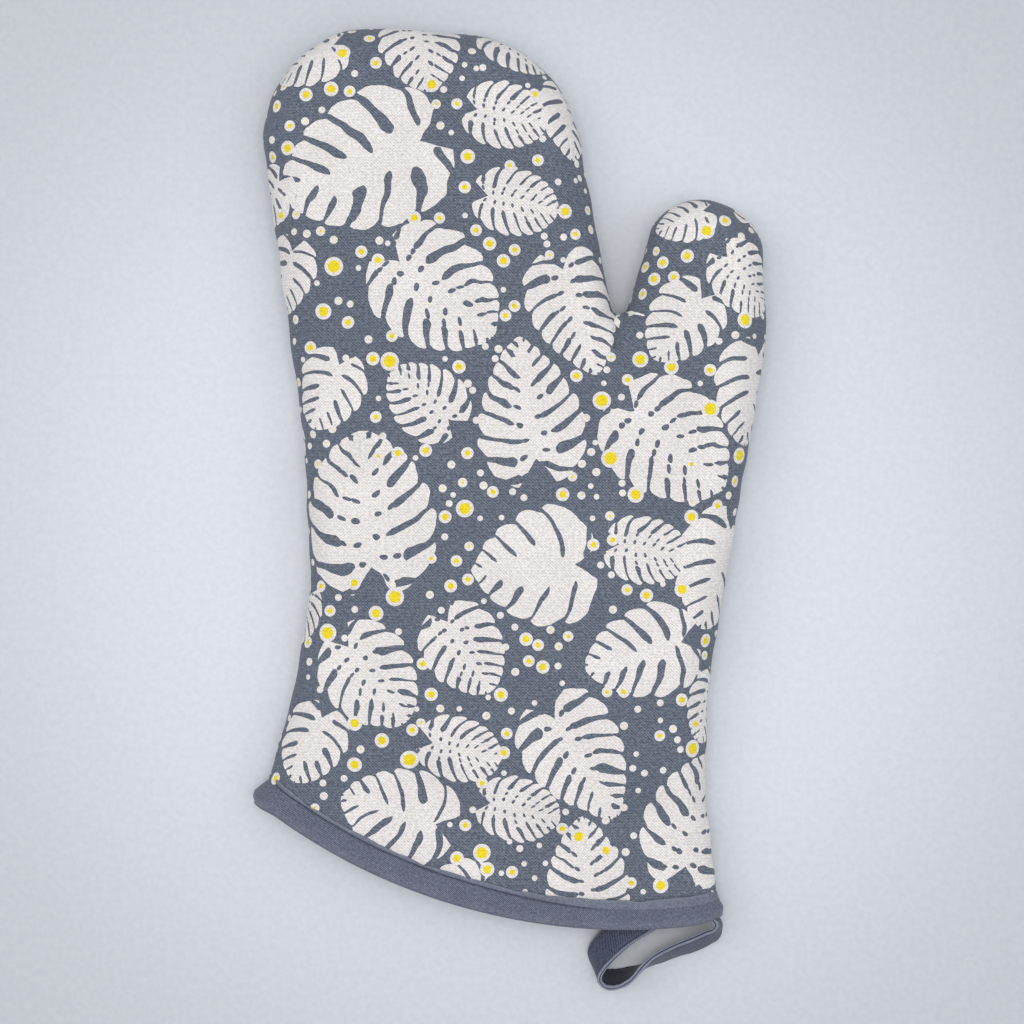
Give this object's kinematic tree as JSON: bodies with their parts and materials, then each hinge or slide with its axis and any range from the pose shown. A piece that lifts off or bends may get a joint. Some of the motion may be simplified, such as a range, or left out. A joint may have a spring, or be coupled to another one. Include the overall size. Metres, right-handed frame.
{
  "type": "oven mitt",
  "caption": "Quilted fabric oven mitt with a separate thumb, a bound cuff and a hanging loop at the cuff's thumb-side corner.",
  "frame": {"origin": "centre of the overall box's bottom face, at the back panel's level", "axes": "+Y from the cuff towards the fingertips, +X towards the thumb side, +Z out of the front panel"},
  "size_m": [0.1852, 0.3533, 0.028],
  "materials": {
    "printed_canvas": "woven cotton canvas, grey-blue ground with a white leaf and yellow dot print",
    "batting": "soft white wadding",
    "lining": "plain grey cotton twill",
    "binding": "grey-blue twill tape",
    "thread": "dark grey sewing thread"
  },
  "bodies": {
    "hand": {"shell_front_palm": "printed_canvas", "shell_back_palm": "printed_canvas", "batting_front_palm": "batting", "batting_back_palm": "batting", "seam_allowance_palm": "printed_canvas", "lining_front_palm": "lining", "lining_back_palm": "lining", "cuff_binding": "binding", "binding_topstitch": "thread", "loop_ends": "binding", "loop_bartack": "thread"},
    "fingers": {"shell_front_fingers": "printed_canvas", "shell_back_fingers": "printed_canvas", "batting_front_fingers": "batting", "batting_back_fingers": "batting", "seam_allowance_fingers": "printed_canvas", "lining_front_fingers": "lining", "lining_back_fingers": "lining"},
    "thumb": {"shell_front_thumb": "printed_canvas", "shell_back_thumb": "printed_canvas", "batting_front_thumb": "batting", "batting_back_thumb": "batting", "seam_allowance_thumb": "printed_canvas", "lining_front_thumb": "lining", "lining_back_thumb": "lining"},
    "loop": {"loop_tape": "binding"}
  },
  "joints": [
    {"name": "finger_fold", "type": "hinge", "parent": "hand", "child": "fingers", "pos_m": [-0.0243, 0.0825, 0.014], "axis": [0.9915, 0.13, 0], "range_deg": [-60, 60], "stiffness_Nm_per_rad": 0.15},
    {"name": "thumb_bend", "type": "hinge", "parent": "hand", "child": "thumb", "pos_m": [0.0392, 0.0719, 0.014], "axis": [0.8517, -0.524, 0], "range_deg": [-45, 45], "stiffness_Nm_per_rad": 0.05},
    {"name": "loop_swing", "type": "hinge", "parent": "hand", "child": "loop", "pos_m": [0.068, -0.1525, 0.012], "axis": [0, 0, 1], "range_deg": [-3, 45]}
  ]
}
